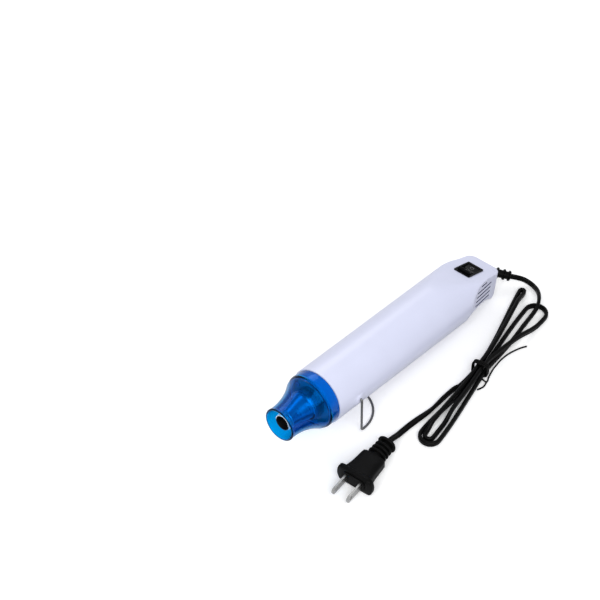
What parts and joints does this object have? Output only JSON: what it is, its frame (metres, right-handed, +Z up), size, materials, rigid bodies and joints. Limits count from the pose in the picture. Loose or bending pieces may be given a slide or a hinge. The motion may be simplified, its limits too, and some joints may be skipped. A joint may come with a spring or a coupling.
{
  "type": "embossing heat tool",
  "caption": "Pencil-shaped embossing heat tool on its wire stand, with a caged steel nozzle, a rocker switch on the tail and its flat mains cord tied in a hank.",
  "frame": {"origin": "on the surface that the tool rests on, under the middle of the tool", "axes": "+X along the tool from the nozzle to the tail, level; +Z up; +Y to the side away from the tied cord"},
  "size_m": [0.2713, 0.1011, 0.0617],
  "materials": {
    "body_white": "satin",
    "guard_blue": "gloss",
    "nozzle_steel": "satin",
    "plated_steel": "satin",
    "mica_board": "matte",
    "fan_plastic": "matte",
    "board_green": "matte",
    "switch_black": "gloss",
    "terminal_brass": "satin",
    "cord_black": "satin",
    "plug_black": "satin",
    "tie_black": "satin",
    "blade_nickel": "polished",
    "stand_wire": "polished"
  },
  "bodies": {
    "tool": {"barrel": "body_white", "nozzle_guard": "guard_blue", "heater_nozzle": "nozzle_steel", "heater_tube": "nozzle_steel", "front_plate": "fan_plastic", "plate_screws": "plated_steel", "mica_sleeve": "mica_board", "mica_former": "mica_board", "heating_coil": "plated_steel", "thermal_cutout": "plated_steel", "thermal_fuse": "fan_plastic", "fan_duct": "fan_plastic", "motor_mount": "fan_plastic", "motor_screws": "plated_steel", "motor_body": "plated_steel", "rectifier_board": "board_green", "rectifier_diodes": "fan_plastic", "switch_body": "switch_black", "switch_terminals": "terminal_brass", "strain_relief": "cord_black", "cord_lead": "cord_black", "cord_hank": "cord_black", "cord_tie": "tie_black", "plug_lead": "cord_black", "plug_body": "plug_black", "plug_blades": "blade_nickel"},
    "rotor": {"fan_impeller": "fan_plastic", "motor_shaft": "plated_steel"},
    "rocker": {"switch_rocker": "switch_black"},
    "stand": {"stand_bail": "stand_wire"}
  },
  "joints": [
    {"name": "fan_spin", "type": "hinge", "parent": "tool", "child": "rotor", "pos_m": [-0.00681, 0, 0.03165], "axis": [0.995, 0, -0.0996], "continuous": true},
    {"name": "switch_rock", "type": "hinge", "parent": "tool", "child": "rocker", "pos_m": [0.09838, 0, 0.0343], "axis": [0, -1, 0], "range_deg": [0, 20]},
    {"name": "stand_fold", "type": "hinge", "parent": "tool", "child": "stand", "pos_m": [-0.0603, 0, 0.0354], "axis": [0, 1, 0], "range_deg": [-13, 100]}
  ]
}
